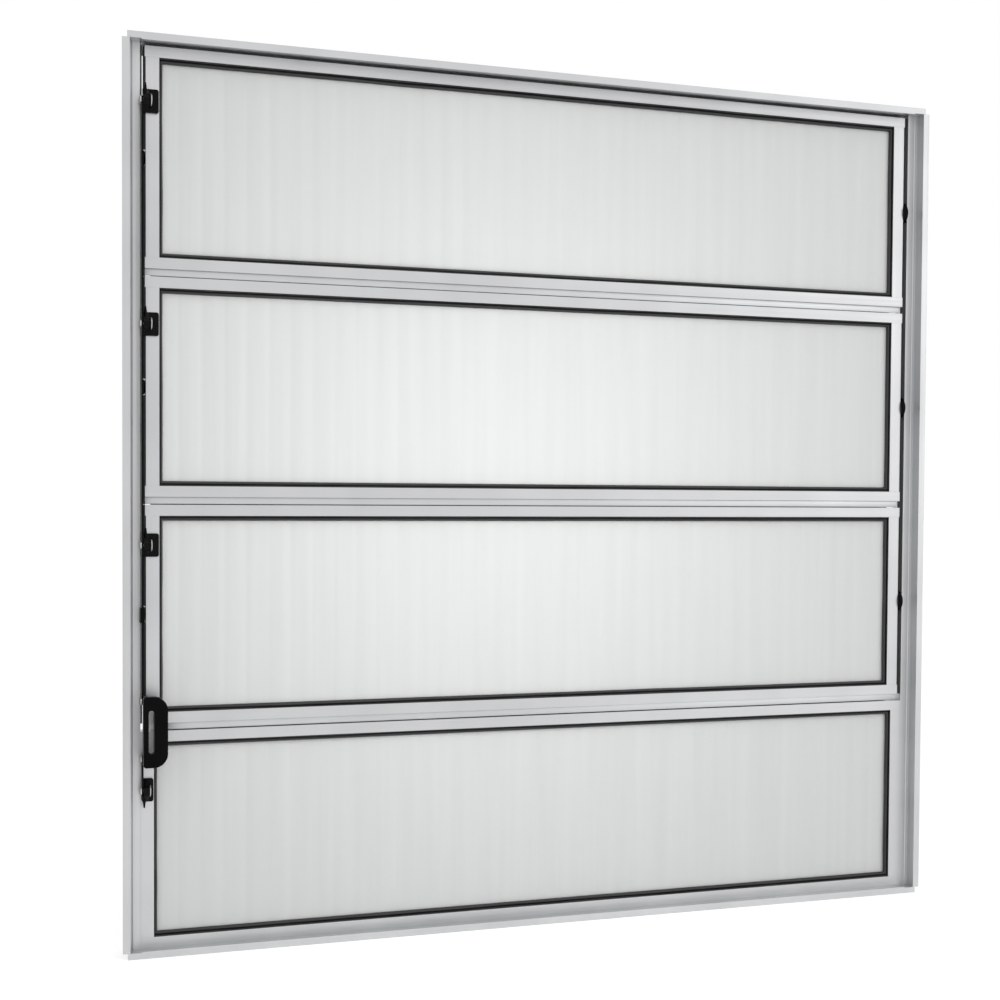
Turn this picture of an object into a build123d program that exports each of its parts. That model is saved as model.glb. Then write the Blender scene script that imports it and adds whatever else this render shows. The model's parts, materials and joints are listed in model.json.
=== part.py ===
from build123d import *
import math
import os

os.makedirs("parts", exist_ok=True)

# Aluminium pivot window: a frame with three tilting sashes over one fixed light.
# Sizes are in millimetres. X runs across, Y from the room to the outside, Z up.
# The origin is the middle of the sill's underside. The fin reaches below it.

# Frame
WINDOW_WIDTH = 1000.0
WINDOW_HEIGHT = 1000.0
FRAME_DEPTH = 40.0
FRAME_WALL = 1.5
FIN_REACH = 5.5
LIP_WIDTH = 8.0
JAMB_WIDTH = 20.5
JAMB_STEP_DEPTH = 16.0
JAMB_FACE_WALL = 2.2
JAMB_GROOVE_AT = 11.4
JAMB_GROOVE_SIZE = 1.0
REAR_STOP_HEIGHT = 10.5

# Sashes, the top three of which tilt
LIGHTS = 4
TILTING = 3
SASH_DEPTH = 18.0
SASH_WALL = 1.3
STILE_FACE = 14.5
STILE_TUBE = 8.0
RAIL_FACE = 12.0
RAIL_TUBE = 6.0
RAIL_OVERHANG = 1.0
SIDE_GAP = 6.0
HEAD_GAP = 3.0
SASH_GAP = 8.5
FLAP_DROP = 14.0
FLAP_ROOT = 4.0
FLAP_WALL = 1.5
FLAP_CLEARANCE = 0.5
FLAP_END_CUT = 8.0

# Glass and its rubber
GLASS_THICKNESS = 3.0
FLUTE_PITCH = 25.0
FLUTE_RISE = 0.6
GLASS_BITE = 4.5
GASKET_LIP = 4.3
GASKET_LIP_SETBACK = 1.6
FIT_GAP = 0.3

# Pivots
PIN_RADIUS = 4.0
PIN_CLEARANCE = 0.2
PIN_REACH = 3.5
PIVOT_RADIUS_RIGHT = 13.5
PIVOT_RADIUS_LEFT = 8.5
PIVOT_CHAMFER = 1.2

# Seals on the jambs beside the tilting sashes
SEAL_THICKNESS = 2.2
SEAL_WIDTH = 7.0
SEAL_SETBACK = 3.0

# Linkage
BAR_THICKNESS = 2.0
BAR_WIDTH = 8.0
BAR_SIDE_GAP = 0.1
BAR_CENTRE_DEPTH = 9.0
BRACKET_HEIGHT = 25.5
BRACKET_PLATE = 2.5
BRACKET_INSET = 0.8
LUG_THICKNESS = 6.0
LUG_RADIUS = 7.0
BRACKET_DROPS = [60.0, 52.0, 44.0, 64.0]
RIVET_RADIUS = 2.5
RIVET_HEAD_RADIUS = 4.5
RIVET_HEAD_HEIGHT = 1.7
RIVET_HEAD_CHAMFER = 1.0
KNUCKLE_DROP = 120.0
KNUCKLE_HEIGHT = 16.0
KNUCKLE_WALL = 1.2

# Handle
HANDLE_RISE = 41.0
HANDLE_HEIGHT = 77.0
HANDLE_WIDTH = 26.0
HANDLE_THICKNESS = 12.0
HANDLE_SETOUT = 14.0
GRIP_WIDTH = 13.5
HANDLE_LEG = 4.5
SLOT_HEIGHT = 47.0
HANDLE_ROUND = 3.0
HANDLE_EDGE = 2.0
HANDLE_CORNER = 15.0
HANDLE_FOOT = 4.0
FOOT_RADIUS = 6.0
FOOT_INSET = 7.0

# Places that follow from the sizes above
FRONT = -FRAME_DEPTH / 2
BODY_HALF = WINDOW_WIDTH / 2 - FIN_REACH
BODY_TOP = WINDOW_HEIGHT - 2 * FIN_REACH
OPENING_HALF = WINDOW_WIDTH / 2 - JAMB_WIDTH
SASH_HALF = OPENING_HALF - SIDE_GAP
SASH_FRONT = FRONT + JAMB_STEP_DEPTH
SASH_BACK = SASH_FRONT + SASH_DEPTH
PIVOT_DEPTH = (SASH_FRONT + SASH_BACK) / 2
LIGHTS_BOTTOM = FRAME_WALL
LIGHTS_TOP = BODY_TOP - FRAME_WALL - HEAD_GAP
LIGHT_HEIGHT = (LIGHTS_TOP - LIGHTS_BOTTOM - (LIGHTS - 1) * SASH_GAP) / LIGHTS
LINK_DEPTH = FRONT + BAR_CENTRE_DEPTH
BAR_LEFT = -OPENING_HALF + BAR_SIDE_GAP
LUG_LEFT = BAR_LEFT + BAR_THICKNESS + FIT_GAP


def light_bottom(number):
    """Underside of a light. Number 1 is the top one."""
    return LIGHTS_TOP - number * LIGHT_HEIGHT - (number - 1) * SASH_GAP


def light_top(number):
    return light_bottom(number) + LIGHT_HEIGHT


def light_half(number):
    """Half the width over the stiles: the fixed light meets the jambs."""
    return SASH_HALF if number <= TILTING else OPENING_HALF


def pivot_height(number):
    return light_bottom(number) + LIGHT_HEIGHT / 2


def bracket_height(number):
    return light_top(number) - BRACKET_DROPS[number - 1]


def outline(plane, points):
    """A flat face from corner points in the plane's own axes."""
    return plane * make_face(Polyline(*points, close=True))


def rod(radius, start, length, depth, height):
    """A round rod along X."""
    plane = Plane(origin=(start, depth, height), x_dir=(0, 1, 0), z_dir=(1, 0, 0))
    return extrude(plane * Circle(radius), length)


def save(shape, name):
    export_step(shape, f"parts/{name}.step")


def jamb(side):
    """A jamb: room-side fin and lip, a step for the sashes and a hollow chamber."""
    groove = JAMB_GROOVE_SIZE
    edge = [
        (0, 0),
        (LIP_WIDTH, 0),
        (LIP_WIDTH, JAMB_STEP_DEPTH),
        (JAMB_GROOVE_AT - groove, JAMB_STEP_DEPTH),
        (JAMB_GROOVE_AT, JAMB_STEP_DEPTH + groove),
        (JAMB_GROOVE_AT + groove, JAMB_STEP_DEPTH),
        (JAMB_WIDTH, JAMB_STEP_DEPTH),
        (JAMB_WIDTH, FRAME_DEPTH),
        (FIN_REACH, FRAME_DEPTH),
        (FIN_REACH, FRAME_WALL),
        (0, FRAME_WALL),
    ]
    chamber = [
        (FIN_REACH + FRAME_WALL, JAMB_STEP_DEPTH + JAMB_FACE_WALL),
        (JAMB_WIDTH - FRAME_WALL, JAMB_STEP_DEPTH + JAMB_FACE_WALL),
        (JAMB_WIDTH - FRAME_WALL, FRAME_DEPTH - FRAME_WALL),
        (FIN_REACH + FRAME_WALL, FRAME_DEPTH - FRAME_WALL),
    ]
    low = Plane((-WINDOW_WIDTH / 2, FRONT, FRAME_WALL))
    section = outline(low, edge) - outline(low, chamber)
    bar = extrude(section, BODY_TOP - 2 * FRAME_WALL)
    if side > 0:
        bar = mirror(bar, Plane.YZ)
    for number in range(1, TILTING + 1):
        start = side * (OPENING_HALF + FRAME_WALL / 2) - FRAME_WALL
        bar -= rod(
            PIN_RADIUS + PIN_CLEARANCE, start, 2 * FRAME_WALL, PIVOT_DEPTH, pivot_height(number)
        )
    return bar


def frame_rail(top):
    """The head or the sill: fin, web and rear stop, cut back at the jambs."""
    web = FIN_REACH + FRAME_WALL
    edge = [
        (0, 0),
        (LIP_WIDTH, 0),
        (LIP_WIDTH, FRAME_WALL),
        (web, FRAME_WALL),
        (web, FRAME_DEPTH - FRAME_WALL),
        (FIN_REACH + REAR_STOP_HEIGHT, FRAME_DEPTH - FRAME_WALL),
        (FIN_REACH + REAR_STOP_HEIGHT, FRAME_DEPTH),
        (FIN_REACH, FRAME_DEPTH),
        (FIN_REACH, FRAME_WALL),
        (0, FRAME_WALL),
    ]
    end = Plane((-BODY_HALF, FRONT, -FIN_REACH), x_dir=(0, 0, 1), z_dir=(1, 0, 0))
    points = [(reach, -depth) for reach, depth in edge]
    bar = extrude(outline(end, points), 2 * BODY_HALF)
    for side in (-1, 1):
        near = (OPENING_HALF + WINDOW_WIDTH / 2) / 2
        room = Box(JAMB_WIDTH, 2 * FRAME_DEPTH, REAR_STOP_HEIGHT)
        bar -= Pos(side * near, 0, FRAME_WALL + REAR_STOP_HEIGHT / 2) * room
    if top:
        bar = mirror(bar, Plane.XY.offset(BODY_TOP / 2))
    return bar


def sash_section(face, tube):
    """Glazing section: a hollow tube and two legs that hold the rubber."""
    back = SASH_DEPTH
    wall = SASH_WALL
    edge = [
        (0, 0),
        (face, 0),
        (face, wall),
        (tube, wall),
        (tube, back - wall),
        (face, back - wall),
        (face, back),
        (0, back),
    ]
    hollow = [
        (wall, wall),
        (tube - wall, wall),
        (tube - wall, back - wall),
        (wall, back - wall),
    ]
    return edge, hollow


def stile(number, side):
    edge, hollow = sash_section(STILE_FACE, STILE_TUBE)
    half = light_half(number)
    low = Plane((-half, SASH_FRONT, light_bottom(number) + RAIL_FACE))
    section = outline(low, edge) - outline(low, hollow)
    bar = extrude(section, LIGHT_HEIGHT - 2 * RAIL_FACE)
    if side > 0:
        bar = mirror(bar, Plane.YZ)
    if number <= TILTING:
        start = side * (half - SASH_WALL / 2) - SASH_WALL
        bar -= rod(
            PIN_RADIUS + PIN_CLEARANCE, start, 2 * SASH_WALL, PIVOT_DEPTH, pivot_height(number)
        )
    return bar


def sash_rail(number, top):
    """A sash rail. A tilting sash has a flap behind the light below it."""
    edge, hollow = sash_section(RAIL_FACE, RAIL_TUBE)
    half = light_half(number)
    if number <= TILTING:
        half += RAIL_OVERHANG
    low = light_bottom(number)
    end = Plane((-half, SASH_FRONT, low), x_dir=(0, 0, 1), z_dir=(1, 0, 0))
    solid = outline(end, [(reach, -depth) for reach, depth in edge])
    inside = outline(end, [(reach, -depth) for reach, depth in hollow])
    bar = extrude(solid - inside, 2 * half)
    if top:
        return mirror(bar, Plane.XY.offset(low + LIGHT_HEIGHT / 2))
    if number <= TILTING:
        bar += flap(low, half - FLAP_END_CUT)
    return bar


def flap(low, half):
    """The thin weather flap on a sash's bottom rail."""
    face = SASH_DEPTH + FLAP_CLEARANCE
    back = face + FLAP_WALL
    edge = [
        (0, SASH_DEPTH),
        (FLAP_ROOT, SASH_DEPTH),
        (FLAP_ROOT, back),
        (-FLAP_DROP, back),
        (-FLAP_DROP, face),
        (0, face),
    ]
    end = Plane((-half, SASH_FRONT, low), x_dir=(0, 0, 1), z_dir=(1, 0, 0))
    return extrude(outline(end, [(reach, -depth) for reach, depth in edge]), 2 * half)


def block(half, low, high, depth, start):
    """A slab centred on X, used for the rubber and its pocket."""
    middle = (low + high) / 2
    return Pos(0, start + depth / 2, middle) * Box(2 * half, depth, high - low)


def gasket(number):
    """Black rubber round the glass, wide in the pocket and narrow at its lip."""
    half = light_half(number)
    low = light_bottom(number)
    high = light_top(number)
    pocket = SASH_WALL + FIT_GAP
    lip_start = pocket + GASKET_LIP_SETBACK
    side_in = STILE_FACE - FIT_GAP
    end_in = RAIL_FACE - FIT_GAP
    outer = block(
        half - STILE_TUBE - FIT_GAP,
        low + RAIL_TUBE + FIT_GAP,
        high - RAIL_TUBE - FIT_GAP,
        SASH_DEPTH - 2 * pocket,
        SASH_FRONT + pocket,
    )
    hole = block(half - side_in, low + end_in, high - end_in, SASH_DEPTH, SASH_FRONT)
    lip = block(
        half - side_in,
        low + end_in,
        high - end_in,
        SASH_DEPTH - 2 * lip_start,
        SASH_FRONT + lip_start,
    )
    clear = block(
        half - side_in - GASKET_LIP,
        low + end_in + GASKET_LIP,
        high - end_in - GASKET_LIP,
        SASH_DEPTH,
        SASH_FRONT,
    )
    slot = block(
        glass_half(number),
        glass_low(number),
        glass_high(number),
        GLASS_THICKNESS,
        PIVOT_DEPTH - GLASS_THICKNESS / 2,
    )
    return (outer - hole) + (lip - clear) - slot


def glass_half(number):
    return light_half(number) - STILE_FACE + GLASS_BITE


def glass_low(number):
    return light_bottom(number) + RAIL_FACE - GLASS_BITE


def glass_high(number):
    return light_top(number) - RAIL_FACE + GLASS_BITE


def glass(number):
    """Fluted glass: flat outside, a row of shallow round flutes to the room."""
    half = glass_half(number)
    count = math.floor(2 * half / FLUTE_PITCH)
    margin = half - count * FLUTE_PITCH / 2
    flat = GLASS_THICKNESS / 2
    valley = flat - FLUTE_RISE
    lines = [
        Line((-half, flat), (-half, -valley)),
        Line((-half, -valley), (-half + margin, -valley)),
    ]
    for flute in range(count):
        left = -half + margin + flute * FLUTE_PITCH
        middle = left + FLUTE_PITCH / 2
        right = left + FLUTE_PITCH
        lines.append(ThreePointArc((left, -valley), (middle, -flat), (right, -valley)))
    lines.append(Line((half - margin, -valley), (half, -valley)))
    lines.append(Line((half, -valley), (half, flat)))
    lines.append(Line((half, flat), (-half, flat)))
    low = Plane((0, PIVOT_DEPTH, glass_low(number)))
    return extrude(low * make_face(Curve() + lines), glass_high(number) - glass_low(number))


def pivot(number, side):
    """A nylon pivot: a thick disc between jamb and sash, on a pin into both."""
    radius = PIVOT_RADIUS_RIGHT if side > 0 else PIVOT_RADIUS_LEFT
    height = pivot_height(number)
    middle = side * (OPENING_HALF - SIDE_GAP / 2)
    length = SIDE_GAP + 2 * PIN_REACH
    thick = SIDE_GAP - 2 * FIT_GAP
    disc = rod(radius, middle - thick / 2, thick, PIVOT_DEPTH, height)
    disc = chamfer(disc.edges().filter_by(GeomType.CIRCLE), PIVOT_CHAMFER)
    return disc + rod(PIN_RADIUS, middle - length / 2, length, PIVOT_DEPTH, height)


def seal(side):
    """Black strip on the jamb's inner face, cut where the pivots stand."""
    low = light_bottom(TILTING)
    middle = side * (OPENING_HALF - SEAL_THICKNESS / 2)
    depth = SASH_FRONT + SEAL_SETBACK + SEAL_WIDTH / 2
    section = Plane((middle, depth, low)) * Rectangle(SEAL_THICKNESS, SEAL_WIDTH)
    strip = extrude(section, LIGHTS_TOP - low)
    radius = PIVOT_RADIUS_RIGHT if side > 0 else PIVOT_RADIUS_LEFT
    for number in range(1, TILTING + 1):
        start = middle - SEAL_THICKNESS
        strip -= rod(
            radius + FIT_GAP, start, 2 * SEAL_THICKNESS, PIVOT_DEPTH, pivot_height(number)
        )
    return strip


def bracket(number):
    """A plate on the stile with a round-nosed lug that carries the link."""
    height = bracket_height(number)
    middle = STILE_FACE / 2 - light_half(number)
    width = STILE_FACE - 2 * BRACKET_INSET
    back = SASH_FRONT
    face = Plane((middle, back, height), x_dir=(1, 0, 0), z_dir=(0, -1, 0))
    plate = extrude(face * Rectangle(width, BRACKET_HEIGHT), BRACKET_PLATE)
    plate = fillet(plate.edges().filter_by(Axis.Y), BRACKET_PLATE)
    side = Plane((LUG_LEFT, LINK_DEPTH, height), x_dir=(0, 1, 0), z_dir=(1, 0, 0))
    foot_depth = back - BRACKET_PLATE / 2 - LINK_DEPTH
    foot = Pos(foot_depth, 0) * Rectangle(BRACKET_PLATE, BRACKET_HEIGHT)
    nose = make_hull((Circle(LUG_RADIUS) + foot).edges())
    lug = extrude(side * nose, LUG_THICKNESS)
    both = plate + lug
    return both - rivet_hole(height)


def rivet_hole(height):
    start = BAR_LEFT - BAR_THICKNESS
    reach = 2 * BAR_THICKNESS + 2 * LUG_THICKNESS
    return rod(RIVET_RADIUS + PIN_CLEARANCE, start, reach, LINK_DEPTH, height)


def rivet(height, thickness):
    """A rivet from the bar's outer face into what the bar drives."""
    start = BAR_LEFT - RIVET_HEAD_HEIGHT
    head = rod(RIVET_HEAD_RADIUS, start, RIVET_HEAD_HEIGHT, LINK_DEPTH, height)
    head = chamfer(head.faces().sort_by(Axis.X)[0].edges(), RIVET_HEAD_CHAMFER)
    shank = rod(RIVET_RADIUS, BAR_LEFT, BAR_THICKNESS + FIT_GAP + thickness, LINK_DEPTH, height)
    return head + shank


def flat_bar(low, high, holes):
    """A flat steel bar with round ends, drilled for rivets."""
    length = high - low + BAR_WIDTH
    plane = Plane((BAR_LEFT, LINK_DEPTH, (low + high) / 2), x_dir=(0, 0, 1), z_dir=(1, 0, 0))
    bar = extrude(plane * SlotOverall(length, BAR_WIDTH), BAR_THICKNESS)
    for height in holes:
        bar -= rivet_hole(height)
    return bar


def knuckle():
    """The black joint block clipped round the link bar."""
    height = light_top(TILTING) - KNUCKLE_DROP
    gap = PIN_CLEARANCE
    inner = (BAR_THICKNESS + 2 * gap, BAR_WIDTH + 2 * gap)
    outer = (inner[0] + 2 * KNUCKLE_WALL, inner[1] + 2 * KNUCKLE_WALL)
    low = Plane((BAR_LEFT + BAR_THICKNESS / 2, LINK_DEPTH, height - KNUCKLE_HEIGHT / 2))
    section = RectangleRounded(*outer, KNUCKLE_WALL) - Rectangle(*inner)
    return extrude(low * section, KNUCKLE_HEIGHT)


def handle_top():
    """The handle stands across the meeting of sash 3 and the fixed light."""
    return light_top(LIGHTS) + HANDLE_RISE


def foot_height(top):
    if top:
        return handle_top() - FOOT_INSET
    return handle_top() - HANDLE_HEIGHT + FOOT_INSET


def handle():
    """The moulded D handle with two feet that reach back beside the link."""
    left = LUG_LEFT - HANDLE_LEG / 2
    right = left + HANDLE_WIDTH
    middle = handle_top() - HANDLE_HEIGHT / 2
    back = FRONT - HANDLE_SETOUT + HANDLE_THICKNESS
    room = Plane((0, back, 0), x_dir=(1, 0, 0), z_dir=(0, -1, 0))
    width = right - left
    shape = Pos((left + right) / 2, middle) * Rectangle(width, HANDLE_HEIGHT)
    corners = shape.vertices().group_by(Axis.X)[-1]
    shape = fillet(corners, HANDLE_CORNER)
    inner = shape.vertices().group_by(Axis.X)[0]
    shape = fillet(inner, HANDLE_ROUND)
    slot_width = width - GRIP_WIDTH - HANDLE_LEG
    slot_middle = left + HANDLE_LEG + slot_width / 2
    slot = Pos(slot_middle, middle) * SlotOverall(SLOT_HEIGHT, slot_width, rotation=90)
    grip = extrude(room * (shape - slot), HANDLE_THICKNESS)
    front = grip.faces().sort_by(Axis.Y)[0]
    rear = grip.faces().sort_by(Axis.Y)[-1]
    grip = chamfer(front.edges() + rear.edges(), HANDLE_EDGE)
    for top in (True, False):
        height = foot_height(top)
        side = Plane((LUG_LEFT, LINK_DEPTH, height), x_dir=(0, 1, 0), z_dir=(1, 0, 0))
        reach = LINK_DEPTH - back + HANDLE_EDGE
        arm = Pos(-reach / 2, 0) * Rectangle(reach, 2 * FOOT_RADIUS)
        foot = extrude(side * (Circle(FOOT_RADIUS) + arm), HANDLE_FOOT)
        grip = grip + (foot - rivet_hole(height))
    return grip


save(jamb(-1), "left_jamb")
save(jamb(1), "right_jamb")
save(frame_rail(True), "head")
save(frame_rail(False), "sill")

names = {1: "sash_1", 2: "sash_2", 3: "sash_3", 4: "fixed_light"}
for number, name in names.items():
    save(stile(number, -1), f"{name}_left_stile")
    save(stile(number, 1), f"{name}_right_stile")
    save(sash_rail(number, True), f"{name}_top_rail")
    save(sash_rail(number, False), f"{name}_bottom_rail")
    save(gasket(number), f"{name}_gasket")
    save(glass(number), f"{name}_glass")
    save(bracket(number), f"{name}_bracket")
    if number <= TILTING:
        save(pivot(number, -1), f"{name}_left_pivot")
        save(pivot(number, 1), f"{name}_right_pivot")

save(seal(-1), "left_seal")
save(seal(1), "right_seal")

tilting_brackets = [bracket_height(number) for number in range(1, TILTING + 1)]
upper_foot = foot_height(True)
lower_foot = foot_height(False)
fixed_bracket = bracket_height(LIGHTS)
save(flat_bar(upper_foot, tilting_brackets[0], tilting_brackets + [upper_foot]), "link_bar")
save(flat_bar(fixed_bracket, lower_foot, [fixed_bracket, lower_foot]), "lower_link")
save(knuckle(), "link_knuckle")
save(handle(), "handle")

rivets = [rivet(height, LUG_THICKNESS) for height in tilting_brackets + [fixed_bracket]]
rivets += [rivet(height, HANDLE_FOOT) for height in (upper_foot, lower_foot)]
save(Compound(children=rivets), "link_rivets")
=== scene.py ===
import json
import math

import bmesh
import bpy
from mathutils import Matrix, Vector


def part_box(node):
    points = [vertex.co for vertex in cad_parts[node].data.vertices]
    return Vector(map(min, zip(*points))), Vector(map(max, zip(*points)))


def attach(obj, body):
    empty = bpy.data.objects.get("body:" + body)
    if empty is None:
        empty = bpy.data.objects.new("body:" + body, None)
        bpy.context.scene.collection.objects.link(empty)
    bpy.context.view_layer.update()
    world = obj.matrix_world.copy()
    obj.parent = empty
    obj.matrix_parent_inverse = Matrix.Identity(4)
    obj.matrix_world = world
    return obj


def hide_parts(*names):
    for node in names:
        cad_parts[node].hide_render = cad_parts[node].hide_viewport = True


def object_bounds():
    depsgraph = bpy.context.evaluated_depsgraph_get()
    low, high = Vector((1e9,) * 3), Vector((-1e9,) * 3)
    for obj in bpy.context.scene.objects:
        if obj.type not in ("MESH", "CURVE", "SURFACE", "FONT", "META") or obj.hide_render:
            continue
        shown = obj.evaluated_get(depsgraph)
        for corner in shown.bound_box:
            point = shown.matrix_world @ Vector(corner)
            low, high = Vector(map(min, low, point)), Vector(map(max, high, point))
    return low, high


# The looks of an aluminium pivot window: fluted glass, rubber, moulded handle, rivets and finishes.
# Everything is in metres, in the frame's own axes: X across, Y from the room outwards, Z up.

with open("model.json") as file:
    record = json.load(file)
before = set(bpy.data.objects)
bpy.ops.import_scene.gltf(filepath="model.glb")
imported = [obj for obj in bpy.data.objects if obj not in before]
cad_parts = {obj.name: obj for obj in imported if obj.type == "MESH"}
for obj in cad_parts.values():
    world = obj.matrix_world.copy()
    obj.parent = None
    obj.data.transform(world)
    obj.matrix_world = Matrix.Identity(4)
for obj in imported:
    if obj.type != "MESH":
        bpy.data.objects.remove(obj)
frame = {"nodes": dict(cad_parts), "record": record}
CAD_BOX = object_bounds()

bl_info = {
    "name": "Pivot window",
    "version": (1, 0, 0),
    "blender": (4, 5, 0),
    "location": "View3D > Sidebar > Window",
    "description": "Glass, rubber, handle, rivets and finishes of a window with tilting sashes",
    "category": "Object",
}

MM = 0.001
BODY = "root"
LIGHTS = ["sash_1", "sash_2", "sash_3", "fixed_light"]

# The camera's place and turn, found from the frame's corners in the photograph.
CAMERA_PLACE = Vector((-0.68242, -1.8202, 0.50245))
CAMERA_YAW = 0.34125
CAMERA_PITCH = -0.03165
CAMERA_ROLL = 0.00668
CAMERA_LENS = 58.9
CAMERA_SHIFT = (-0.02315, 0.04641)

LAMP_SIZE = 1.6
KEY_PLACE = Vector((2.7, -2.6, 1.2))
TOP_PLACE = Vector((-0.1, -1.9, 3.2))
NEAR_PLACE = Vector((-0.06, -0.46, 0.54))
NEAR_SIZE = 0.5
FLOOR_SIZE = 60
FLOOR_GLOW = 0.5

# The rubber's section: distance outwards from the lip's nose, and depth from the glass's middle.
# None stands for the outer edge, which the frame gives. No two neighbours have the same depth,
# because two rectangles in one plane can be bridged across the pane.
RUBBER_HALF_SECTION = [
    (8.5, 1.5),
    (0.3, 1.8),
    (0.0, 2.6),
    (0.1, 4.6),
    (0.9, 6.0),
    (2.1, 6.5),
    (3.3, 5.9),
    (4.1, 4.6),
    (4.3, 7.4),
    (None, 7.1),
]


def linear(code):
    """An sRGB hex colour as linear red, green and blue."""
    parts = [int(code[at : at + 2], 16) / 255 for at in (0, 2, 4)]
    return tuple(c / 12.92 if c <= 0.04045 else ((c + 0.055) / 1.055) ** 2.4 for c in parts)


class WindowSizes(bpy.types.PropertyGroup):
    """Sizes of the pieces that are modelled round the frame."""

    flute_pitch: bpy.props.FloatProperty(
        name="Flute pitch",
        description="Distance from one flute of the glass to the next",
        default=25 * MM,
        min=5 * MM,
        unit="LENGTH",
    )
    flute_rise: bpy.props.FloatProperty(
        name="Flute rise",
        description="How far a flute stands out from its valleys",
        default=0.6 * MM,
        min=0.05 * MM,
        unit="LENGTH",
    )
    lip_waviness: bpy.props.FloatProperty(
        name="Lip waviness",
        description="How far the rubber's lip wanders from a straight line",
        default=1.6 * MM,
        min=0,
        unit="LENGTH",
    )
    handle_corner: bpy.props.FloatProperty(
        name="Handle corner",
        description="Radius of the two large corners of the handle's outline",
        default=15 * MM,
        min=1 * MM,
        unit="LENGTH",
    )
    handle_rim: bpy.props.FloatProperty(
        name="Handle rim",
        description="Rounding of the handle's rims",
        default=2.1 * MM,
        min=0.2 * MM,
        unit="LENGTH",
    )
    rivet_head: bpy.props.FloatProperty(
        name="Rivet head",
        description="Radius of a rivet's head",
        default=4.5 * MM,
        min=1 * MM,
        unit="LENGTH",
    )


class WindowColours(bpy.types.PropertyGroup):
    """Colours of the window's materials."""

    aluminium: bpy.props.FloatVectorProperty(
        name="Aluminium",
        description="Clear anodised aluminium",
        subtype="COLOR",
        default=linear("CBCCCD"),
        min=0,
        max=1,
    )
    # The rubber on the jambs is partly a seal and partly painted shade: it blackens the gaps beside
    # the sashes.
    rubber: bpy.props.FloatVectorProperty(
        name="Rubber",
        description="Black rubber round the glass and on the jambs",
        subtype="COLOR",
        default=linear("272728"),
        min=0,
        max=1,
    )
    glass: bpy.props.FloatVectorProperty(
        name="Glass",
        description="Pressed translucent glass",
        subtype="COLOR",
        default=linear("F3F5F4"),
        min=0,
        max=1,
    )
    nylon: bpy.props.FloatVectorProperty(
        name="Nylon",
        description="Moulded nylon of the handle, knuckle and pivots",
        subtype="COLOR",
        default=linear("0B0B0C"),
        min=0,
        max=1,
    )
    steel: bpy.props.FloatVectorProperty(
        name="Steel",
        description="Black painted steel of the brackets and bars",
        subtype="COLOR",
        default=linear("0A0A0B"),
        min=0,
        max=1,
    )
    zinc: bpy.props.FloatVectorProperty(
        name="Zinc",
        description="Zinc plate of the rivets",
        subtype="COLOR",
        default=linear("C2C2BE"),
        min=0,
        max=1,
    )


class StageSettings(bpy.types.PropertyGroup):
    """Light round the window."""

    key_power: bpy.props.FloatProperty(
        name="Key power",
        description="Power of the large soft lamp on the right",
        default=10,
        min=0,
        unit="POWER",
    )
    near_power: bpy.props.FloatProperty(
        name="Near power",
        description="Power of the small lamp that brightens the middle of the glass",
        default=1.0,
        min=0,
        unit="POWER",
    )
    top_power: bpy.props.FloatProperty(
        name="Top power",
        description="Power of the soft lamp high in front",
        default=6,
        min=0,
        unit="POWER",
    )
    room_light: bpy.props.FloatProperty(
        name="Room light",
        description="Brightness of the surroundings for matt surfaces",
        default=0.68,
        min=0,
    )


def clear_selection():
    """Leaves edit mode and deselects every object."""
    if bpy.context.object and bpy.context.object.mode != "OBJECT":
        bpy.ops.object.mode_set(mode="OBJECT")
    bpy.ops.object.select_all(action="DESELECT")


def add_box(low, high, name):
    """A box between two corners, with its place in its mesh, left in object mode."""
    clear_selection()
    bpy.ops.mesh.primitive_cube_add(size=1, location=(low + high) / 2, scale=high - low)
    return settle(name)


def add_drum(radius, start, length, depth, height, sides, name):
    """A round drum that runs along X from start."""
    clear_selection()
    bpy.ops.mesh.primitive_cylinder_add(
        vertices=sides,
        radius=radius,
        depth=length,
        location=(start + length / 2, depth, height),
        rotation=(0, math.radians(90), 0),
    )
    return settle(name)


def settle(name):
    """Names the active object and moves its place and turn into its mesh."""
    piece = bpy.context.object
    piece.name = name
    piece.data.name = name
    bpy.ops.object.transform_apply(location=True, rotation=True, scale=True)
    return piece


def make_active(piece):
    """Selects one piece alone and makes it the active one."""
    clear_selection()
    piece.select_set(True)
    bpy.context.view_layer.objects.active = piece


def pick(kind, test):
    """Selects, in edit mode, the verts, edges or faces that pass a test."""
    modes = {"verts": "VERT", "edges": "EDGE", "faces": "FACE"}
    bpy.ops.mesh.select_mode(type=modes[kind])
    bpy.ops.mesh.select_all(action="DESELECT")
    mesh = bmesh.from_edit_mesh(bpy.context.object.data)
    found = [part for part in getattr(mesh, kind) if test(part)]
    if not found:
        raise RuntimeError(f"no {kind} found to shape {bpy.context.object.name}")
    for part in found:
        part.select_set(True)
    mesh.select_flush_mode()
    bmesh.update_edit_mesh(bpy.context.object.data)


def runs_along(edge, axis):
    """True where an edge lies along an axis: 0 for X, 1 for Y and 2 for Z."""
    line = edge.verts[1].co - edge.verts[0].co
    return abs(line[axis]) > 0.999 * line.length


def centre(part):
    """The middle of an edge's or a face's corners."""
    return sum((vert.co for vert in part.verts), Vector()) / len(part.verts)


def near(value, target):
    """True where two lengths differ by less than a hundredth of a millimetre."""
    return abs(value - target) < 0.01 * MM


def round_edges(test, radius, segments):
    """Rounds, in edit mode, the edges that pass a test."""
    pick("edges", test)
    bpy.ops.mesh.bevel(offset=radius, segments=segments, profile=0.5, affect="EDGES")


def soften(piece, radius, segments):
    """Rounds a piece's sharp edges with an applied bevel."""
    make_active(piece)
    bevel = piece.modifiers.new("soft edges", "BEVEL")
    bevel.width = radius
    bevel.segments = segments
    bevel.limit_method = "ANGLE"
    bevel.angle_limit = math.radians(40)
    bevel.use_clamp_overlap = True
    bpy.ops.object.modifier_apply(modifier=bevel.name)


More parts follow.
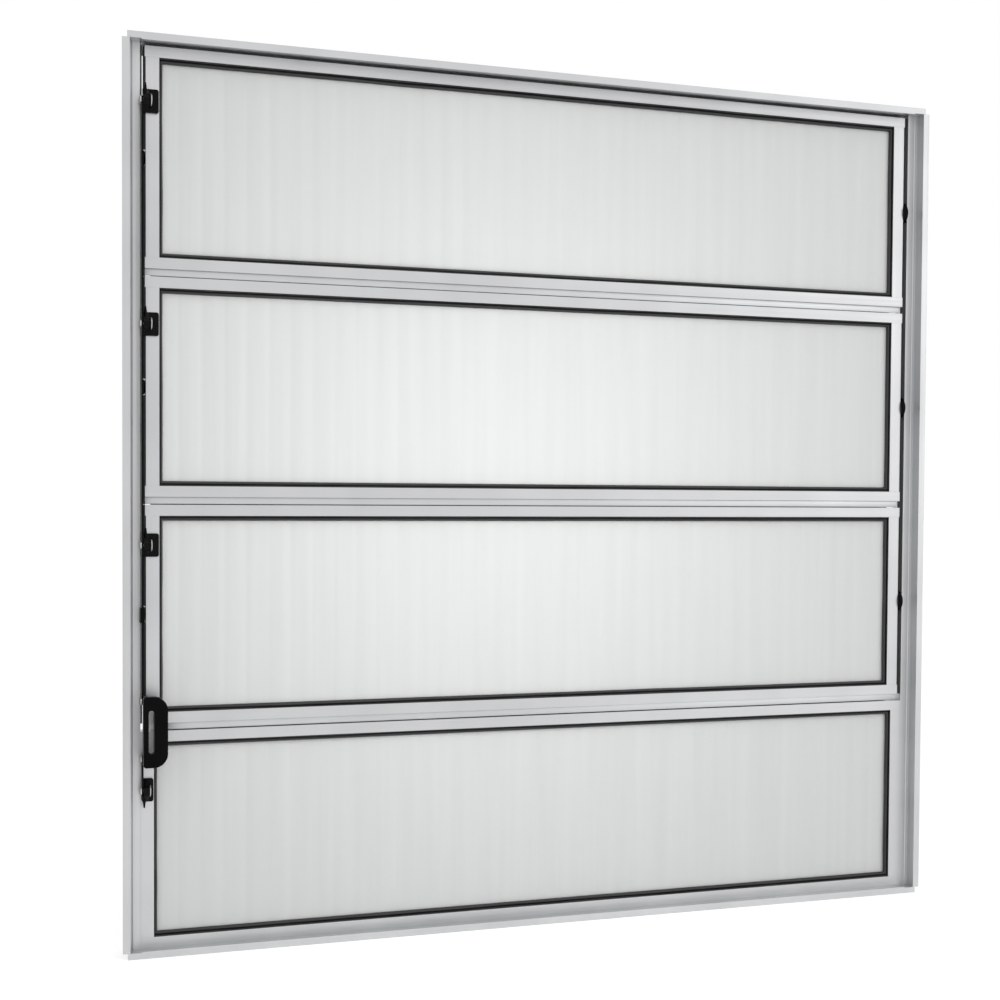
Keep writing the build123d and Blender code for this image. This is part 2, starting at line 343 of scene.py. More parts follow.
def combine(piece, tool, operation):
    """Joins a tool to a piece or cuts it out, and removes the tool."""
    make_active(piece)
    boolean = piece.modifiers.new(operation.lower(), "BOOLEAN")
    boolean.operation = operation
    boolean.solver = "EXACT"
    boolean.object = tool
    bpy.ops.object.modifier_apply(modifier=boolean.name)
    bpy.data.objects.remove(tool)


def join(pieces, name):
    """Makes one object of several."""
    clear_selection()
    for piece in pieces:
        piece.select_set(True)
    bpy.context.view_layer.objects.active = pieces[0]
    bpy.ops.object.join()
    pieces[0].name = name
    pieces[0].data.name = name
    return pieces[0]


def copy_to(piece, offset):
    """A copy with its own mesh, moved by an offset that goes into the mesh."""
    make_active(piece)
    bpy.ops.object.duplicate(linked=False)
    twin = bpy.context.object
    twin.location = offset
    bpy.ops.object.transform_apply(location=True, rotation=True, scale=True)
    return twin


def close_up(piece):
    """Merges doubled points and turns all faces outwards."""
    make_active(piece)
    bpy.ops.object.mode_set(mode="EDIT")
    bpy.ops.mesh.select_all(action="SELECT")
    bpy.ops.mesh.remove_doubles(threshold=0.002 * MM)
    bpy.ops.mesh.normals_make_consistent(inside=False)
    bpy.ops.object.mode_set(mode="OBJECT")


def hand_over(piece, material, replaced=()):
    """Shades a finished piece, gives it its material and fixes it to the frame."""
    make_active(piece)
    bpy.ops.object.shade_smooth_by_angle(angle=math.radians(35))
    piece.data.materials.clear()
    piece.data.materials.append(material)
    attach(piece, BODY)
    if replaced:
        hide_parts(*replaced)


def add_node(material, kind, settings=None, links=None):
    """Adds a shader node. Settings are inputs by name or place, or the node's own options."""
    tree = material.node_tree
    node = tree.nodes.new(kind)
    for key, value in (settings or {}).items():
        if isinstance(key, int) or key in node.inputs:
            node.inputs[key].default_value = value
        else:
            setattr(node, key, value)
    for key, source in (links or {}).items():
        from_node, output = source
        tree.links.new(from_node.outputs[output], node.inputs[key])
    return node


def new_material(name):
    """An empty node material with its output."""
    material = bpy.data.materials.new(name)
    material.use_nodes = True
    material.node_tree.nodes.clear()
    return material


def finish_material(material, shader):
    """Links a shader to the output and gives the material back."""
    output = add_node(material, "ShaderNodeOutputMaterial")
    material.node_tree.links.new(shader.outputs[0], output.inputs["Surface"])
    return material


def opaque(colour):
    """A colour with full alpha."""
    return (*colour[:3], 1)


def grain(material, pitches, detail=3.0):
    """Noise on object coordinates whose grain has the given size along X, Y and Z."""
    place = add_node(material, "ShaderNodeTexCoord")
    scale = tuple(1 / pitch for pitch in pitches)
    mapping = add_node(
        material, "ShaderNodeMapping", {"Scale": scale}, {"Vector": (place, "Object")}
    )
    return add_node(
        material,
        "ShaderNodeTexNoise",
        {"Scale": 1.0, "Detail": detail},
        {"Vector": (mapping, "Vector")},
    )


def spread(material, source, low, high):
    """Maps noise, which keeps near its middle, to a range of values."""
    return add_node(
        material,
        "ShaderNodeMapRange",
        {"From Min": 0.3, "From Max": 0.7, "To Min": low, "To Max": high},
        {"Value": (source, "Fac")},
    )


def tinted(material, colour, source, low, high):
    """The colour, made darker and lighter by noise."""
    shade = spread(material, source, low, high)
    return add_node(
        material,
        "ShaderNodeVectorMath",
        {"operation": "MULTIPLY", 1: colour[:3]},
        {0: (shade, "Result")},
    )


def anodised_aluminium(name, colour, pitches):
    """Extruded aluminium, etched and clear anodised.

    The etch gives a matt silver. The die leaves faint lines along the bar, and sharp corners
    are broken, so that they show as fine bright lines.
    """
    material = new_material(name)
    # Real die lines are about 0.1 mm apart. They are drawn coarser, so that they show.
    lines = grain(material, pitches, 4.0)
    clouds = grain(material, (90 * MM, 90 * MM, 90 * MM), 2.0)
    shade = tinted(material, colour, clouds, 0.95, 1.03)
    rough = spread(material, lines, 0.38, 0.5)
    corner = add_node(material, "ShaderNodeBevel", {"samples": 4, "Radius": 0.45 * MM})
    relief = add_node(
        material,
        "ShaderNodeBump",
        {"Strength": 0.25, "Distance": 0.04 * MM},
        {"Height": (lines, "Fac"), "Normal": (corner, "Normal")},
    )
    shader = add_node(
        material,
        "ShaderNodeBsdfPrincipled",
        {"Metallic": 1.0},
        {
            "Base Color": (shade, "Vector"),
            "Roughness": (rough, "Result"),
            "Normal": (relief, "Normal"),
        },
    )
    return finish_material(material, shader)


def glazing_rubber(colour):
    """Black extruded rubber: a dull skin with a fine grain and a bloom where it is handled."""
    material = new_material("extruded black rubber")
    skin = grain(material, (0.7 * MM, 0.7 * MM, 0.7 * MM))
    bloom = grain(material, (35 * MM, 35 * MM, 35 * MM), 2.0)
    shade = tinted(material, colour, bloom, 0.8, 1.35)
    rough = spread(material, bloom, 0.42, 0.56)
    relief = add_node(
        material,
        "ShaderNodeBump",
        {"Strength": 0.3, "Distance": 0.08 * MM},
        {"Height": (skin, "Fac")},
    )
    shader = add_node(
        material,
        "ShaderNodeBsdfPrincipled",
        {"IOR": 1.52},
        {
            "Base Color": (shade, "Vector"),
            "Roughness": (rough, "Result"),
            "Normal": (relief, "Normal"),
        },
    )
    return finish_material(material, shader)


def pressed_glass(colour):
    """Rolled translucent glass: milky, with soft flutes and the roller's stipple.

    A little of the light passes through scattered, and the milky rest shows the flutes softly.
    """
    material = new_material("rolled fluted glass")
    # The roller's stipple is about 1 mm across, and its drift runs along the flutes.
    stipple = grain(material, (1.6 * MM, 1.6 * MM, 1.6 * MM), 2.0)
    drift = grain(material, (14 * MM, 60 * MM, 420 * MM), 2.0)
    shade = tinted(material, colour, drift, 0.965, 1.0)
    wobble = add_node(
        material,
        "ShaderNodeBump",
        {"Strength": 0.5, "Distance": 0.9 * MM},
        {"Height": (drift, "Fac")},
    )
    relief = add_node(
        material,
        "ShaderNodeBump",
        {"Strength": 0.35, "Distance": 0.12 * MM},
        {"Height": (stipple, "Fac"), "Normal": (wobble, "Normal")},
    )
    shader = add_node(
        material,
        "ShaderNodeBsdfPrincipled",
        {"IOR": 1.52, "Roughness": 0.5, "Transmission Weight": 0.12},
        {"Base Color": (shade, "Vector"), "Normal": (relief, "Normal")},
    )
    return finish_material(material, shader)


def moulded_nylon(colour):
    """Glass-filled nylon from a spark-eroded mould: nearly black, satin, finely grained."""
    material = new_material("moulded black nylon")
    skin = grain(material, (0.5 * MM, 0.5 * MM, 0.5 * MM))
    handled = grain(material, (22 * MM, 22 * MM, 22 * MM), 2.0)
    shade = tinted(material, colour, handled, 0.8, 1.25)
    rough = spread(material, handled, 0.24, 0.36)
    relief = add_node(
        material,
        "ShaderNodeBump",
        {"Strength": 0.2, "Distance": 0.05 * MM},
        {"Height": (skin, "Fac")},
    )
    shader = add_node(
        material,
        "ShaderNodeBsdfPrincipled",
        {"IOR": 1.53, "Specular IOR Level": 0.04},
        {
            "Base Color": (shade, "Vector"),
            "Roughness": (rough, "Result"),
            "Normal": (relief, "Normal"),
        },
    )
    return finish_material(material, shader)


def painted_steel(colour):
    """Steel with a thin coat of black paint: glossy, with the orange peel of a dipped coat."""
    material = new_material("black painted steel")
    peel = grain(material, (2.5 * MM, 2.5 * MM, 2.5 * MM), 2.0)
    wear = grain(material, (9 * MM, 9 * MM, 9 * MM))
    shade = tinted(material, colour, wear, 0.8, 1.3)
    rough = spread(material, wear, 0.2, 0.32)
    corner = add_node(material, "ShaderNodeBevel", {"samples": 4, "Radius": 0.4 * MM})
    relief = add_node(
        material,
        "ShaderNodeBump",
        {"Strength": 0.2, "Distance": 0.06 * MM},
        {"Height": (peel, "Fac"), "Normal": (corner, "Normal")},
    )
    shader = add_node(
        material,
        "ShaderNodeBsdfPrincipled",
        {"IOR": 1.5, "Specular IOR Level": 0.06, "Coat Weight": 0.05, "Coat Roughness": 0.1},
        {
            "Base Color": (shade, "Vector"),
            "Roughness": (rough, "Result"),
            "Normal": (relief, "Normal"),
        },
    )
    return finish_material(material, shader)


def zinc_plate(colour):
    """Bright zinc on pressed steel: a silver head with small scratches from setting."""
    material = new_material("zinc plated rivet steel")
    marks = grain(material, (0.5 * MM, 2.5 * MM, 0.5 * MM))
    shade = tinted(material, colour, marks, 0.88, 1.04)
    rough = spread(material, marks, 0.2, 0.36)
    relief = add_node(
        material,
        "ShaderNodeBump",
        {"Strength": 0.25, "Distance": 0.04 * MM},
        {"Height": (marks, "Fac")},
    )
    shader = add_node(
        material,
        "ShaderNodeBsdfPrincipled",
        {"Metallic": 1.0},
        {
            "Base Color": (shade, "Vector"),
            "Roughness": (rough, "Result"),
            "Normal": (relief, "Normal"),
        },
    )
    return finish_material(material, shader)


made_materials = {}


def material_of(kind):
    """The material of one kind, made the first time it is asked for."""
    colours = bpy.context.scene.window_colours
    # Die lines run along a bar: up on jambs and stiles, across on rails, head and sill.
    fine = 1.2 * MM
    long = 320 * MM
    makers = {
        "upright": lambda: anodised_aluminium(
            "anodised aluminium upright", colours.aluminium, (fine, fine, long)
        ),
        "level": lambda: anodised_aluminium(
            "anodised aluminium level", colours.aluminium, (long, fine, fine)
        ),
        "rubber": lambda: glazing_rubber(colours.rubber),
        "glass": lambda: pressed_glass(colours.glass),
        "nylon": lambda: moulded_nylon(colours.nylon),
        "steel": lambda: painted_steel(colours.steel),
        "zinc": lambda: zinc_plate(colours.zinc),
    }
    if kind not in made_materials:
        made_materials[kind] = makers[kind]()
    return made_materials[kind]


def flute_curve(pitch, rise):
    """The radius of a flute and the angle that its arc spans."""
    radius = (pitch**2 / 4 + rise**2) / (2 * rise)
    return radius, 2 * math.asin(pitch / 2 / radius)


def make_pane(light, sizes):
    """One pane: a margin, a row of flutes spun one after another, a margin and a flat back."""
    low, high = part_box(f"{light}_glass")
    pitch = sizes.flute_pitch
    rise = sizes.flute_rise
    count = math.floor((high.x - low.x) / pitch)
    margin = (high.x - low.x - count * pitch) / 2
    valley = low.y + rise
    radius, span = flute_curve(pitch, rise)
    clear_selection()
    bpy.ops.mesh.primitive_plane_add(
        size=1,
        location=(low.x + margin / 2, valley, (low.z + high.z) / 2),
        rotation=(math.radians(90), 0, 0),
    )
    bpy.context.object.scale = (margin, high.z - low.z, 1)
    pane = settle(f"{light}_pane")
    bpy.ops.object.mode_set(mode="EDIT")
    edge = low.x + margin
    pick("edges", lambda e: runs_along(e, 2) and near(centre(e).x, edge))
    for flute in range(count):
        middle = edge + (flute + 0.5) * pitch
        bpy.ops.mesh.spin(
            steps=12, angle=-span, center=(middle, low.y + radius, 0), axis=(0, 0, 1)
        )
    move = {"value": (margin, 0, 0)}
    bpy.ops.mesh.extrude_region_move(TRANSFORM_OT_translate=move)
    bpy.ops.mesh.select_mode(type="FACE")
    bpy.ops.mesh.select_all(action="SELECT")
    back = {"value": (0, high.y - low.y, 0)}
    bpy.ops.mesh.extrude_region_move(TRANSFORM_OT_translate=back)
    bpy.ops.transform.resize(value=(1, 0, 1), center_override=(0, high.y, 0))
    bpy.ops.object.mode_set(mode="OBJECT")
    close_up(pane)
    return pane


def add_loop(low, high, inset, depth):
    """In edit mode, an upright rectangle of edges at one depth, drawn in from two corners."""
    bpy.ops.mesh.select_all(action="DESELECT")
    bpy.ops.mesh.primitive_plane_add(
        size=1,
        location=((low.x + high.x) / 2, depth, (low.z + high.z) / 2),
        rotation=(math.radians(90), 0, 0),
    )
    size = (high.x - low.x - 2 * inset, 1, high.z - low.z - 2 * inset)
    bpy.ops.transform.resize(
        value=size, center_override=((low.x + high.x) / 2, depth, (low.z + high.z) / 2)
    )
    bpy.ops.mesh.delete(type="ONLY_FACE")


def rubber_rings(low, high):
    """Each rectangle of the rubber's closed section, as corners, inset and depth."""
    lip = Vector((10.2 * MM, 0, 11.2 * MM))
    middle = (low.y + high.y) / 2
    front = [(out, -depth) for out, depth in reversed(RUBBER_HALF_SECTION)]
    for out, depth in front + RUBBER_HALF_SECTION:
        if out is None:
            yield low, high, 0, middle + depth * MM
        else:
            yield low + lip, high - lip, -out * MM, middle + depth * MM


def make_gasket(light, sizes):
    """The rubber round one pane: its section drawn as rectangles that are bridged in turn."""
    low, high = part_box(f"{light}_gasket")
    rings = list(rubber_rings(low, high))
    clear_selection()
    bpy.ops.mesh.primitive_plane_add(size=1)
    gasket = settle(f"{light}_rubber")
    bpy.ops.object.mode_set(mode="EDIT")
    bpy.ops.mesh.select_all(action="SELECT")
    bpy.ops.mesh.delete(type="VERT")
    for ring in rings:
        add_loop(*ring)
    corners = 4
    for number in range(len(rings)):
        wanted = {number, (number + 1) % len(rings)}
        mesh = bmesh.from_edit_mesh(gasket.data)
        mesh.verts.index_update()
        owners = {vert: vert.index // corners for vert in mesh.verts}
        pick("edges", lambda e: owners[e.verts[0]] == owners[e.verts[1]] in wanted)
        bpy.ops.mesh.bridge_edge_loops()
    for axis, cuts in ((0, 60), (2, 18)):
        pick("edges", lambda e: runs_along(e, axis) and e.calc_length() > 50 * MM)
        bpy.ops.mesh.subdivide(number_cuts=cuts)
    bpy.ops.object.mode_set(mode="OBJECT")
    close_up(gasket)
    wave_lip(gasket, low, high, sizes.lip_waviness)
    return gasket


def wave_lip(gasket, low, high, amount):
    """Lets the lip wander a little, as pressed-in rubber does, and keeps its corners."""
    pocket = 6.2 * MM
    reach = 11 * MM
    corner = 12 * MM
    calm = 40 * MM
    texture = bpy.data.textures.new("rubber lip", "CLOUDS")
    texture.noise_scale = 0.11
    for axis, name in ((2, "level lips"), (0, "upright lips")):
        along = 0 if axis == 2 else 2
        group = gasket.vertex_groups.new(name=name)
        for vert in gasket.data.vertices:
            side = min(vert.co[axis] - low[axis], high[axis] - vert.co[axis])
            end = min(vert.co[along] - low[along], high[along] - vert.co[along])
            if pocket < side < reach and end > corner:
                group.add([vert.index], min(1, (end - corner) / calm), "REPLACE")
        make_active(gasket)
        wave = gasket.modifiers.new(name, "DISPLACE")
        wave.texture = texture
        wave.texture_coords = "GLOBAL"
        wave.direction = "XYZ"[axis]
        wave.vertex_group = name
        wave.strength = amount
        wave.mid_level = 0.5
        bpy.ops.object.modifier_apply(modifier=wave.name)


def link_depth():
    """How deep the link bar's middle line lies."""
    low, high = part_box("link_bar")
    return (low.y + high.y) / 2


def bracket_centres():
    """The height of each bracket's rivet, from the top down."""
    boxes = [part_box(f"{light}_bracket") for light in LIGHTS]
    return [(low.z + high.z) / 2 for low, high in boxes]


def foot_centres():
    """The heights of the handle's two feet."""
    low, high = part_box("handle")
    inset = 7 * MM
    return [high.z - inset, low.z + inset]


def make_grip(sizes):
    """The D of the handle: a block with two large corners, cut through by a long slot."""
    low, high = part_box("handle")
    high = Vector((high.x, low.y + 12 * MM, high.z))
    grip = add_box(low, high, "moulded_handle")
    bpy.ops.object.mode_set(mode="EDIT")
    round_edges(
        lambda e: runs_along(e, 1) and near(centre(e).x, high.x), sizes.handle_corner, 8
    )
    round_edges(lambda e: runs_along(e, 1) and near(centre(e).x, low.x), 3 * MM, 3)
    bpy.ops.object.mode_set(mode="OBJECT")
    through = 10 * MM
    leg = 5.5 * MM
    width = 14.5 * MM
    bridge = 15 * MM
    slot = add_box(
        Vector((low.x + leg, low.y - through, low.z + bridge)),
        Vector((high.x - width, high.y + through, high.z - bridge)),
        "slot",
    )
    bpy.ops.object.mode_set(mode="EDIT")
    round_edges(lambda e: runs_along(e, 1), 2.4 * MM, 6)
    bpy.ops.object.mode_set(mode="OBJECT")
    combine(grip, slot, "DIFFERENCE")
    soften(grip, sizes.handle_rim, 5)
    return grip


def make_foot(height):
    """A foot of the handle: a tongue with a round end and a hole for its rivet."""
    low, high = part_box("handle")
    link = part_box("link_bar")[1].x + 0.3 * MM
    radius = 6 * MM
    start = low.y + 9 * MM
    foot = add_box(
        Vector((link, start, height - radius)),
        Vector((link + 4 * MM, high.y, height + radius)),
        "foot",
    )
    bpy.ops.object.mode_set(mode="EDIT")
    round_edges(lambda e: runs_along(e, 0) and near(centre(e).y, high.y), 5.9 * MM, 8)
    bpy.ops.object.mode_set(mode="OBJECT")
    hole = add_drum(2.7 * MM, link - 5 * MM, 15 * MM, link_depth(), height, 24, "hole")
    combine(foot, hole, "DIFFERENCE")
    soften(foot, 0.4 * MM, 2)
    return foot


def make_rivet(sizes):
    """One rivet at height 0: a domed head on the jamb's side, and a shank."""
    low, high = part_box("link_rivets")
    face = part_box("link_bar")[0].x
    head = add_drum(
        sizes.rivet_head, low.x, face - low.x, link_depth(), 0, 32, "rivet_head"
    )
    bpy.ops.object.mode_set(mode="EDIT")
    pick("faces", lambda f: f.normal.x < -0.9)
    bpy.ops.mesh.bevel(offset=1.2 * MM, segments=5, profile=0.5, affect="EDGES")
    pick("faces", lambda f: f.normal.x > 0.9)
    bpy.ops.mesh.inset(thickness=sizes.rivet_head - 2.5 * MM)
    shank = {"value": (high.x - face - 1 * MM, 0, 0)}
    bpy.ops.mesh.extrude_region_move(TRANSFORM_OT_translate=shank)
    bpy.ops.object.mode_set(mode="OBJECT")
    close_up(head)
    return head


def make_cover(sash):
    """The thin aluminium strip that closes the joint below a sash, open at its right end."""
    low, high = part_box(f"{sash}_bottom_rail")
    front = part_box(f"{sash}_top_rail")[0].y + 2 * MM
    rail_face = 12 * MM
    under = high.z - rail_face
    drop = 7.6 * MM
    thickness = 1.3 * MM
    end_gap = 4 * MM
    cover = add_box(
        Vector((low.x, front, under - drop)),
        Vector((high.x - end_gap, front + thickness, under)),
        "cover",
    )
    soften(cover, 0.4 * MM, 2)
    return cover


def make_seal_and_gap_shade_strips(sash):
    """The black strips on the outer side of a sash's left stile, above and below its pivot: rubber
    that is partly a seal and partly painted shade for the dark gap beside the stile.
    """
    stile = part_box(f"{sash}_left_stile")
    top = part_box(f"{sash}_top_rail")[1].z
    below = LIGHTS[LIGHTS.index(sash) + 1]
    clear = 0.3 * MM
    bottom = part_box(f"{below}_top_rail")[1].z + clear
    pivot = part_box(f"{sash}_left_pivot")
    reach = 2.3 * MM
    front = 2 * MM
    back = 9 * MM
    strips = []
    for low_z, high_z in ((bottom, pivot[0].z - clear), (pivot[1].z + clear, top)):
        low = Vector((stile[0].x - reach, stile[0].y + front, low_z))
        high = Vector((stile[0].x, stile[0].y + back, high_z))
        # Each strip fills the gap beside the stile with black: painted shade where the gap is dark.
        strip = add_box(low, high, "strip")
        soften(strip, 1 * MM, 3)
        strips.append(strip)
    return strips


def make_cam(light):
    """The rounded cam on a bracket's lug, with the small pawl that guides the link."""
    low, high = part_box(f"{light}_bracket")
    height = (low.z + high.z) / 2
    radius = 7.2 * MM
    start = low.x + 6 * MM
    thickness = 1.8 * MM
    cam = add_drum(radius, start, thickness, link_depth(), height, 40, "cam")
    soften(cam, 0.8 * MM, 4)
    up = -1 if light == "fixed_light" else 1
    foot = Vector((low.x + 2.6 * MM, link_depth() + 1 * MM, height + up * 6 * MM))
    tip_height = 13 * MM
    clear_selection()
    bpy.ops.mesh.primitive_cone_add(
        vertices=12,
        radius1=2.4 * MM,
        radius2=0.8 * MM,
        depth=tip_height,
        location=foot + Vector((0, 0, up * tip_height / 2)),
        rotation=(0 if up > 0 else math.pi, 0, 0),
    )
    pawl = settle("pawl")
    soften(pawl, 0.4 * MM, 2)
    return [cam, pawl]


def make_cam_rim(light):
    """The bright zinc washer beside a bracket's cam."""
    low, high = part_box(f"{light}_bracket")
    height = (low.z + high.z) / 2
    radius = 6.6 * MM
    start = low.x + 8 * MM
    thickness = 1.1 * MM
    rim = add_drum(radius, start, thickness, link_depth(), height, 40, "rim")
    soften(rim, 0.3 * MM, 2)
    return rim


class WINDOW_OT_panes(bpy.types.Operator):
    """Add the four panes of fluted glass"""

    bl_idname = "window.add_panes"
    bl_label = "Add panes"

    def execute(self, context):
        for light in LIGHTS:
            pane = make_pane(light, context.scene.window_sizes)
            hand_over(pane, material_of("glass"), [f"{light}_glass"])
        return {"FINISHED"}


class WINDOW_OT_gaskets(bpy.types.Operator):
    """Add the rubber round the four panes"""

    bl_idname = "window.add_gaskets"
    bl_label = "Add rubber"

    def execute(self, context):
        for light in LIGHTS:
            gasket = make_gasket(light, context.scene.window_sizes)
            hand_over(gasket, material_of("rubber"), [f"{light}_gasket"])
        return {"FINISHED"}


class WINDOW_OT_handle(bpy.types.Operator):
    """Add the moulded D handle with its two feet"""

    bl_idname = "window.add_handle"
    bl_label = "Add handle"

    def execute(self, context):
        handle = make_grip(context.scene.window_sizes)
        for height in foot_centres():
            combine(handle, make_foot(height), "UNION")
        close_up(handle)
        hand_over(handle, material_of("nylon"), ["handle"])
        return {"FINISHED"}


class WINDOW_OT_rivets(bpy.types.Operator):
    """Add the domed rivets of the linkage"""

    bl_idname = "window.add_rivets"
    bl_label = "Add rivets"

    def execute(self, context):
        first = make_rivet(context.scene.window_sizes)
        heights = bracket_centres() + foot_centres()
        rivets = [copy_to(first, (0, 0, height)) for height in heights]
        bpy.data.objects.remove(first)
        joined = join(rivets, "domed_rivets")
        hand_over(joined, material_of("zinc"), ["link_rivets"])
        return {"FINISHED"}


class WINDOW_OT_covers(bpy.types.Operator):
    """Add the strips that close the joints below the tilting sashes"""

    bl_idname = "window.add_covers"
    bl_label = "Add joint covers"

    def execute(self, context):
        covers = join([make_cover(sash) for sash in LIGHTS[:-1]], "joint_covers")
        hand_over(covers, material_of("level"))
        return {"FINISHED"}


class WINDOW_OT_strips(bpy.types.Operator):
    """Add the black strips on the left stiles of the tilting sashes, partly seals and partly
    painted shade in the gap beside them
    """

    bl_idname = "window.add_strips"
    bl_label = "Add strips"

    def execute(self, context):
        pieces = [strip for sash in LIGHTS[:-1] for strip in make_seal_and_gap_shade_strips(sash)]
        strips = join(pieces, "stile_strips")
        # The black rubber here is partly a seal and partly painted shade that darkens the gap
        # between stile and jamb.
        hand_over(strips, material_of("rubber"))
        return {"FINISHED"}


class WINDOW_OT_cams(bpy.types.Operator):
    """Add the rounded cams and pawls on the brackets"""

    bl_idname = "window.add_cams"
    bl_label = "Add cams"

    def execute(self, context):
        pieces = [piece for light in LIGHTS for piece in make_cam(light)]
        cams = join(pieces, "bracket_cams")
        hand_over(cams, material_of("steel"))
        rims = join([make_cam_rim(light) for light in LIGHTS], "cam_washers")
        hand_over(rims, material_of("zinc"))
        return {"FINISHED"}


class WINDOW_OT_finishes(bpy.types.Operator):
    """Give the frame, sashes, seals and linkage their materials"""

    bl_idname = "window.apply_finishes"
    bl_label = "Apply finishes"

    def execute(self, context):
        slots = {row["node"]: row["material_slot"] for row in frame["record"]["subparts"]}
        kinds = {
            # black_rubber also covers the jamb seals, which are partly painted shade for the gaps
            # beside the sashes.
            "black_rubber": "rubber",
            "fluted_glass": "glass",
            "black_nylon": "nylon",
            "black_steel": "steel",
            "rivet_steel": "zinc",
        }
        for name, node in frame["nodes"].items():
            level = name.endswith("_rail") or name in ("head", "sill")
            kind = kinds.get(slots[name], "level" if level else "upright")
            node.data.materials.clear()
            node.data.materials.append(material_of(kind))
        return {"FINISHED"}


class WINDOW_OT_stage(bpy.types.Operator):
    """Add the floor, the white surroundings, the soft lamps and the camera"""

    bl_idname = "window.add_stage"
    bl_label = "Add stage"

    def execute(self, context):
        settings = context.scene.window_stage
        add_floor()
        set_surroundings(settings.room_light)
        middle = (CAD_BOX[0] + CAD_BOX[1]) / 2
        add_lamp("key lamp", KEY_PLACE, middle, LAMP_SIZE, settings.key_power)
        add_lamp("top lamp", TOP_PLACE, middle, LAMP_SIZE, settings.top_power)
        straight_on = NEAR_PLACE + Vector((0, 1, 0))
        near_lamp = add_lamp(
            "near lamp", NEAR_PLACE, straight_on, NEAR_SIZE, settings.near_power
        )
        # It would burn out the aluminium, so only matt surfaces get its light.
        near_lamp.visible_glossy = False
        add_camera()
        context.scene.view_settings.view_transform = "Standard"
        return {"FINISHED"}


def view_rays(material):
    """1 for rays that the eye follows straight, off metal or through glass, and 0 for the rest."""
    path = add_node(material, "ShaderNodeLightPath")
    seen = add_node(
        material,
        "ShaderNodeMath",
        {"operation": "MAXIMUM"},
        {0: (path, "Is Camera Ray"), 1: (path, "Is Glossy Ray")},
    )
    return add_node(
        material,
        "ShaderNodeMath",
        {"operation": "MAXIMUM"},
        {0: (seen, "Value"), 1: (path, "Is Transmission Ray")},
    )


def add_floor():
    """A wide pale floor under the fin. It shows white and keeps the window's shadow."""
    clear_selection()
    bpy.ops.mesh.primitive_plane_add(size=FLOOR_SIZE, location=(0, 0, CAD_BOX[0].z))
    floor = settle("floor")
    material = new_material("matt white floor")
    seen = view_rays(material)
    # The glow lifts the lit floor just past white, so only the shadow stays grey.
    glow = add_node(
        material,
        "ShaderNodeMath",
        {"operation": "MULTIPLY", 1: FLOOR_GLOW},
        {0: (seen, "Value")},
    )
    paint = add_node(material, "ShaderNodeBsdfDiffuse", {"Color": opaque(linear("E6E6E6"))})
    light = add_node(material, "ShaderNodeEmission", None, {"Strength": (glow, "Value")})
    both = add_node(
        material, "ShaderNodeAddShader", None, {0: (paint, "BSDF"), 1: (light, "Emission")}
    )
    floor.data.materials.append(finish_material(material, both))


def set_surroundings(room_light):
    """White where the eye sees it, and plain soft light for matt surfaces."""
    world = bpy.data.worlds.new("white surroundings")
    world.use_nodes = True
    world.node_tree.nodes.clear()
    seen = view_rays(world)
    strength = add_node(
        world,
        "ShaderNodeMapRange",
        {"To Min": room_light, "To Max": 1.0},
        {"Value": (seen, "Value")},
    )
    background = add_node(
        world, "ShaderNodeBackground", {"Color": (1, 1, 1, 1)}, {"Strength": (strength, "Result")}
    )
    output = add_node(world, "ShaderNodeOutputWorld")
    world.node_tree.links.new(background.outputs[0], output.inputs["Surface"])
    bpy.context.scene.world = world


def add_lamp(name, place, target, size, power):
    """A round soft lamp that faces a point."""
    lamp = bpy.data.lights.new(name, "AREA")
    lamp.shape = "DISK"
    lamp.size = size
    lamp.energy = power
    stand = bpy.data.objects.new(name, lamp)
    turn = (target - place).to_track_quat("-Z", "Y")
    stand.matrix_world = Matrix.Translation(place) @ turn.to_matrix().to_4x4()
    stand.visible_camera = False
    bpy.context.scene.collection.objects.link(stand)
    return stand


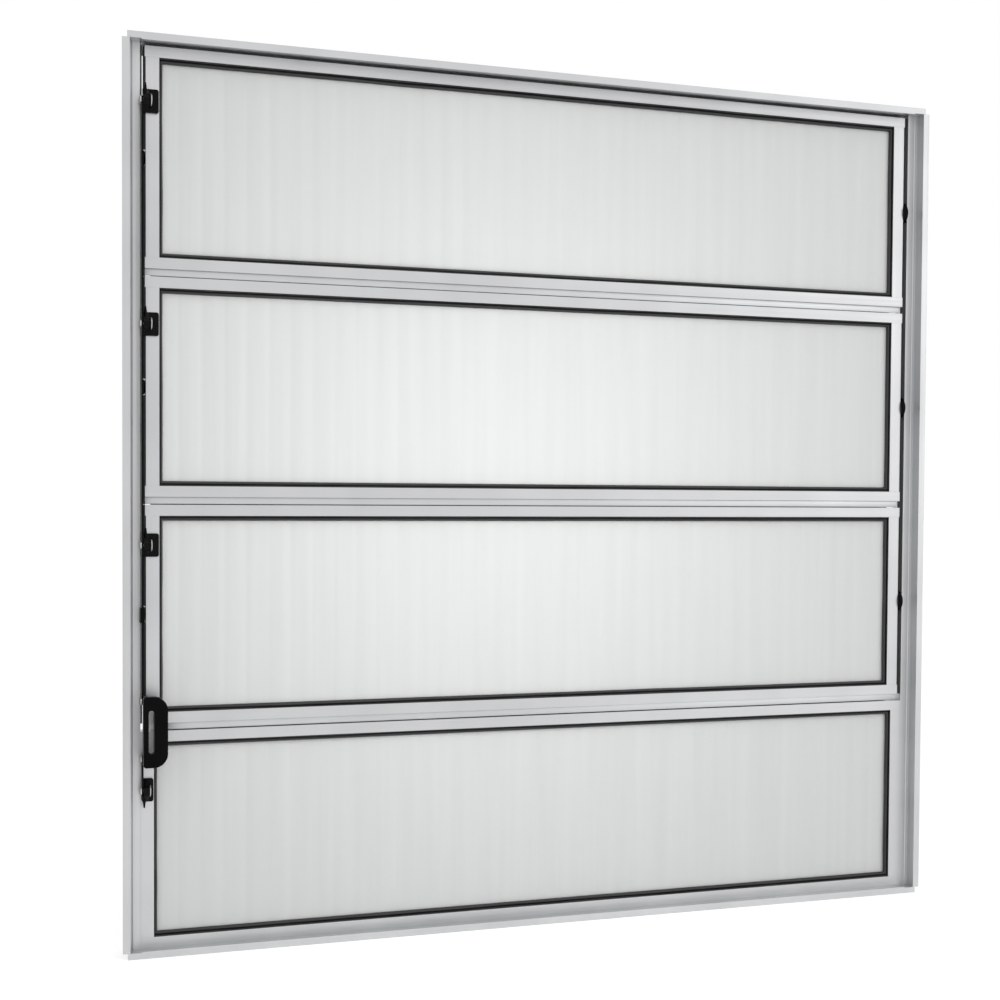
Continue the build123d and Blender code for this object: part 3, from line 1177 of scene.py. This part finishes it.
def add_camera():
    """The camera at the photograph's place."""
    forward = Vector(
        (
            math.sin(CAMERA_YAW) * math.cos(CAMERA_PITCH),
            math.cos(CAMERA_YAW) * math.cos(CAMERA_PITCH),
            math.sin(CAMERA_PITCH),
        )
    )
    side = Vector((math.cos(CAMERA_YAW), -math.sin(CAMERA_YAW), 0))
    above = side.cross(forward)
    right = side * math.cos(CAMERA_ROLL) + above * math.sin(CAMERA_ROLL)
    up = above * math.cos(CAMERA_ROLL) - side * math.sin(CAMERA_ROLL)
    lens = bpy.data.cameras.new("camera")
    lens.lens = CAMERA_LENS
    lens.shift_x, lens.shift_y = CAMERA_SHIFT
    camera = bpy.data.objects.new("camera", lens)
    turn = Matrix((right, up, -forward)).transposed().to_4x4()
    camera.matrix_world = Matrix.Translation(CAMERA_PLACE) @ turn
    bpy.context.scene.collection.objects.link(camera)
    bpy.context.scene.camera = camera


class WINDOW_PT_parts(bpy.types.Panel):
    """Lists the window's pieces in the sidebar"""

    bl_label = "Pivot window"
    bl_idname = "WINDOW_PT_parts"
    bl_space_type = "VIEW_3D"
    bl_region_type = "UI"
    bl_category = "Window"

    def draw(self, context):
        for operator in OPERATORS:
            self.layout.operator(operator.bl_idname)
        for group in ("window_sizes", "window_colours", "window_stage"):
            settings = getattr(context.scene, group)
            box = self.layout.box()
            for name in settings.bl_rna.properties.keys():
                if name not in ("rna_type", "name"):
                    box.prop(settings, name)


OPERATORS = [
    WINDOW_OT_panes,
    WINDOW_OT_gaskets,
    WINDOW_OT_handle,
    WINDOW_OT_rivets,
    WINDOW_OT_covers,
    WINDOW_OT_strips,
    WINDOW_OT_cams,
    WINDOW_OT_finishes,
    WINDOW_OT_stage,
]
GROUPS = {
    "window_sizes": WindowSizes,
    "window_colours": WindowColours,
    "window_stage": StageSettings,
}


def register():
    for name, group in GROUPS.items():
        bpy.utils.register_class(group)
        setattr(bpy.types.Scene, name, bpy.props.PointerProperty(type=group))
    for operator in OPERATORS:
        bpy.utils.register_class(operator)
    bpy.utils.register_class(WINDOW_PT_parts)


def unregister():
    bpy.utils.unregister_class(WINDOW_PT_parts)
    for operator in reversed(OPERATORS):
        bpy.utils.unregister_class(operator)
    for name, group in GROUPS.items():
        delattr(bpy.types.Scene, name)
        bpy.utils.unregister_class(group)


def main():
    """Makes the window's looks: its pieces, finishes and stage."""
    register()
    bpy.ops.window.add_panes()
    bpy.ops.window.add_gaskets()
    bpy.ops.window.add_handle()
    bpy.ops.window.add_rivets()
    bpy.ops.window.add_covers()
    bpy.ops.window.add_strips()
    bpy.ops.window.add_cams()
    bpy.ops.window.apply_finishes()
    bpy.ops.window.add_stage()


if __name__ == "__main__":
    main()
